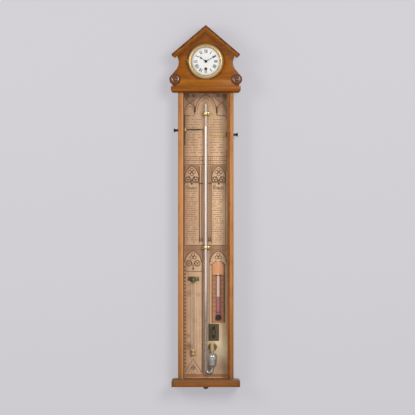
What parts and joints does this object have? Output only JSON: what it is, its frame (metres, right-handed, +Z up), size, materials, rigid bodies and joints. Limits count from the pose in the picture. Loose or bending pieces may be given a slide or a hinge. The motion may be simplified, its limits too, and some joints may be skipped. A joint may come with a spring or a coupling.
{
  "type": "wall stick barometer with timepiece",
  "caption": "Wall-hung mercury stick barometer in a glazed oak case, with sliding recording pointers, thermometer, storm glass and a timepiece in the gable.",
  "frame": {"origin": "centre of the hanging hole, on the wall plane at the back of the case", "axes": "+X to the right seen from the front, +Y into the wall, +Z up"},
  "size_m": [0.236, 0.0876, 1.181],
  "materials": {
    "oak_case": "satin waxed oak",
    "oak_stile": "satin waxed oak",
    "oak_gable": "satin waxed oak",
    "oak_back": "plain planed oak",
    "turned_boss": "polished dark wood",
    "packing_wood": "plain wood",
    "thermometer_wood": "varnished boxwood",
    "chart_paper": "aged printed paper",
    "case_glass": "clear glass",
    "tube_glass": "clear glass",
    "enamel_glass": "enamel-backed glass",
    "mercury": "liquid metal",
    "spirit": "dyed spirit",
    "storm_liquid": "cloudy liquid",
    "bright_brass": "polished brass",
    "aged_brass": "tarnished brass",
    "green_brass": "green patinated brass",
    "dark_wire": "blackened metal",
    "ebony_knob": "ebonised",
    "steel": "turned steel",
    "blued_steel": "blued steel",
    "movement_brass": "lacquered brass",
    "enamel_dial": "vitreous enamel",
    "bezel_brass": "gilt brass",
    "label_metal": "dark printed plate"
  },
  "bodies": {
    "case": {"backboard": "oak_back", "left_stile": "oak_stile", "right_stile": "oak_stile", "base_board": "oak_case", "base_drop_button": "turned_boss", "cornice_board": "oak_case", "frieze_rail": "oak_case", "pediment_board": "oak_gable", "head_sides": "oak_back", "left_roof_board": "oak_gable", "right_roof_board": "oak_gable", "raking_mouldings": "oak_gable", "left_roundel": "turned_boss", "right_roundel": "turned_boss", "front_glass": "case_glass", "glazing_beads": "oak_case", "hanging_plate": "aged_brass", "plate_screws": "aged_brass", "paper_chart": "chart_paper", "barometer_tube": "tube_glass", "mercury": "mercury", "tube_straps": "bright_brass", "tube_blocks": "packing_wood", "cistern_cap": "bright_brass", "cistern_strap": "green_brass", "inner_screws": "aged_brass", "thermometer_board": "thermometer_wood", "thermometer_tube": "enamel_glass", "thermometer_spirit": "spirit", "thermometer_clips": "dark_wire", "storm_glass_tube": "tube_glass", "storm_glass_liquid": "storm_liquid", "storm_glass_strap": "green_brass", "storm_glass_clip": "bright_brass", "label_plate": "label_metal", "rack_guides": "aged_brass", "clock_drum": "movement_brass", "dial": "enamel_dial", "movement_plates": "movement_brass"},
    "bezel_door": {"bezel": "bezel_brass", "bezel_glass": "case_glass"},
    "minute_hand_group": {"cannon_pinion": "steel", "minute_hand": "blued_steel"},
    "minute_wheel_body": {"minute_wheel": "movement_brass"},
    "hour_hand_group": {"hour_wheel": "movement_brass", "hour_hand": "blued_steel"},
    "barrel_body": {"mainspring_barrel": "movement_brass"},
    "centre_arbor": {"centre_wheel": "movement_brass"},
    "third_arbor": {"third_wheel": "movement_brass"},
    "escape_arbor": {"escape_wheel": "movement_brass"},
    "lever_body": {"pallet_lever": "steel"},
    "balance_body": {"balance_wheel": "movement_brass"},
    "winding_body": {"winding_arbor": "steel"},
    "click_body": {"ratchet_click": "steel"},
    "left_knob_body": {"left_knob": "ebony_knob", "left_pinion_arbor": "steel"},
    "left_pointer_body": {"left_pointer_rack": "dark_wire"},
    "right_knob_body": {"right_knob": "ebony_knob", "right_pinion_arbor": "steel"},
    "right_pointer_body": {"right_pointer_rack": "bright_brass"}
  },
  "joints": [
    {"name": "bezel_hinge", "type": "hinge", "parent": "case", "child": "bezel_door", "pos_m": [-0.0602, -0.078, -0.058], "axis": [0, 0, -1], "range_deg": [0, 110]},
    {"name": "minute_hand_turn", "type": "hinge", "parent": "case", "child": "minute_hand_group", "pos_m": [0, -0.08, -0.058], "axis": [0, 1, 0], "continuous": true},
    {"name": "minute_wheel_turn", "type": "hinge", "parent": "case", "child": "minute_wheel_body", "pos_m": [-0.00919, -0.072, -0.05029], "axis": [0, 1, 0], "continuous": true},
    {"name": "hour_hand_turn", "type": "hinge", "parent": "case", "child": "hour_hand_group", "pos_m": [0, -0.078, -0.058], "axis": [0, 1, 0], "continuous": true},
    {"name": "barrel_turn", "type": "hinge", "parent": "case", "child": "barrel_body", "pos_m": [0, -0.057, -0.0822], "axis": [0, 1, 0], "continuous": true},
    {"name": "centre_arbor_turn", "type": "hinge", "parent": "case", "child": "centre_arbor", "pos_m": [0, -0.057, -0.058], "axis": [0, 1, 0], "continuous": true},
    {"name": "third_wheel_turn", "type": "hinge", "parent": "case", "child": "third_arbor", "pos_m": [0.0099, -0.057, -0.0481], "axis": [0, 1, 0], "continuous": true},
    {"name": "escape_wheel_turn", "type": "hinge", "parent": "case", "child": "escape_arbor", "pos_m": [0.00771, -0.057, -0.03569], "axis": [0, 1, 0], "continuous": true},
    {"name": "lever_rock", "type": "hinge", "parent": "case", "child": "lever_body", "pos_m": [-0.00177, -0.057, -0.03419], "axis": [0, 1, 0], "range_deg": [-5, 5]},
    {"name": "balance_swing", "type": "hinge", "parent": "case", "child": "balance_body", "pos_m": [-0.01046, -0.057, -0.03281], "axis": [0, 1, 0], "range_deg": [-270, 270], "stiffness_Nm_per_rad": 0.00002},
    {"name": "winding_turn", "type": "hinge", "parent": "case", "child": "winding_body", "pos_m": [0, -0.057, -0.0822], "axis": [0, 1, 0], "continuous": true},
    {"name": "click_lift", "type": "hinge", "parent": "case", "child": "click_body", "pos_m": [0.0112, -0.071, -0.0782], "axis": [0, -1, 0], "range_deg": [0, 20], "stiffness_Nm_per_rad": 0.0002},
    {"name": "left_knob_turn", "type": "hinge", "parent": "case", "child": "left_knob_body", "pos_m": [-0.09, -0.024, -0.28], "axis": [1, 0, 0], "range_deg": [-477, 477]},
    {"name": "left_pointer_slide", "type": "slide", "parent": "case", "child": "left_pointer_body", "axis": [0, 0, 1], "range_m": [-0.04, 0.04]},
    {"name": "right_knob_turn", "type": "hinge", "parent": "case", "child": "right_knob_body", "pos_m": [0.09, -0.024, -0.294], "axis": [1, 0, 0], "range_deg": [-477, 477]},
    {"name": "right_pointer_slide", "type": "slide", "parent": "case", "child": "right_pointer_body", "axis": [0, 0, 1], "range_m": [-0.04, 0.04]}
  ],
  "couplings": [
    {"joint": "minute_wheel_turn", "follows": "minute_hand_turn", "ratio": -0.33333},
    {"joint": "hour_hand_turn", "follows": "minute_hand_turn", "ratio": 0.083333},
    {"joint": "centre_arbor_turn", "follows": "barrel_turn", "ratio": -6},
    {"joint": "third_wheel_turn", "follows": "barrel_turn", "ratio": 36},
    {"joint": "escape_wheel_turn", "follows": "barrel_turn", "ratio": -216},
    {"joint": "left_pointer_slide", "follows": "left_knob_turn", "m_per_rad": 0.0048},
    {"joint": "right_pointer_slide", "follows": "right_knob_turn", "m_per_rad": 0.0048}
  ]
}
